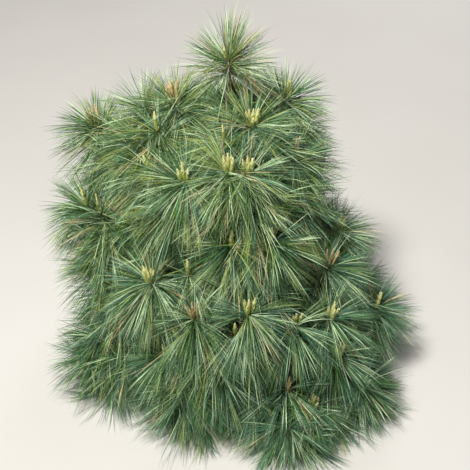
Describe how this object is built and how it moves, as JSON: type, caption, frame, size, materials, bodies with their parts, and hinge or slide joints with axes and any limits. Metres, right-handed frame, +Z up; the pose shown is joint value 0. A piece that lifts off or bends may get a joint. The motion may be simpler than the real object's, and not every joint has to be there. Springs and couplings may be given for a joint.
{
  "type": "radiata eastern white pine tree",
  "caption": "Small, dense, broadly conical white pine with long blue-green needles in radiating tufts, rooted in level ground.",
  "frame": {"origin": "middle of the flat cut under the trunk, at ground level", "axes": "+Z up along the trunk, -Y to the front of the tree as pictured, +X to the right seen from the front"},
  "size_m": [0.6265, 0.6156, 0.6672],
  "materials": {
    "bark": "matt, finely cracked",
    "needles": "soft sheen with a pale bloom"
  },
  "bodies": {
    "root": {"bough_lower_back": "bark", "bough_lower_front": "bark", "bough_lower_front_left": "bark", "bough_lower_front_right": "bark", "bough_lower_left": "bark", "bough_lower_left_back": "bark", "bough_lower_right": "bark", "bough_lower_right_back": "bark", "bough_middle_back": "bark", "bough_middle_front": "bark", "bough_middle_front_left": "bark", "bough_middle_left": "bark", "bough_middle_left_back": "bark", "bough_middle_right": "bark", "bough_skirt_back": "bark", "bough_skirt_front": "bark", "bough_skirt_front_left": "bark", "bough_skirt_front_right": "bark", "bough_skirt_left": "bark", "bough_skirt_left_back": "bark", "bough_skirt_right_back": "bark", "bough_top_back": "bark", "bough_top_front": "bark", "bough_top_left": "bark", "bough_upper_front": "bark", "bough_upper_front_left": "bark", "bough_upper_left_back": "bark", "bough_upper_right": "bark", "bough_upper_right_back": "bark", "foliage_leader": "needles", "foliage_lower_back": "needles", "foliage_lower_front": "needles", "foliage_lower_front_left": "needles", "foliage_lower_front_right": "needles", "foliage_lower_left": "needles", "foliage_lower_left_back": "needles", "foliage_lower_right": "needles", "foliage_lower_right_back": "needles", "foliage_middle_back": "needles", "foliage_middle_front": "needles", "foliage_middle_front_left": "needles", "foliage_middle_left": "needles", "foliage_middle_left_back": "needles", "foliage_middle_right": "needles", "foliage_skirt_back": "needles", "foliage_skirt_front": "needles", "foliage_skirt_front_left": "needles", "foliage_skirt_front_right": "needles", "foliage_skirt_left": "needles", "foliage_skirt_left_back": "needles", "foliage_skirt_right_back": "needles", "foliage_top_back": "needles", "foliage_top_front": "needles", "foliage_top_left": "needles", "foliage_upper_front": "needles", "foliage_upper_front_left": "needles", "foliage_upper_left_back": "needles", "foliage_upper_right": "needles", "foliage_upper_right_back": "needles", "trunk": "bark"}
  },
  "joints": []
}
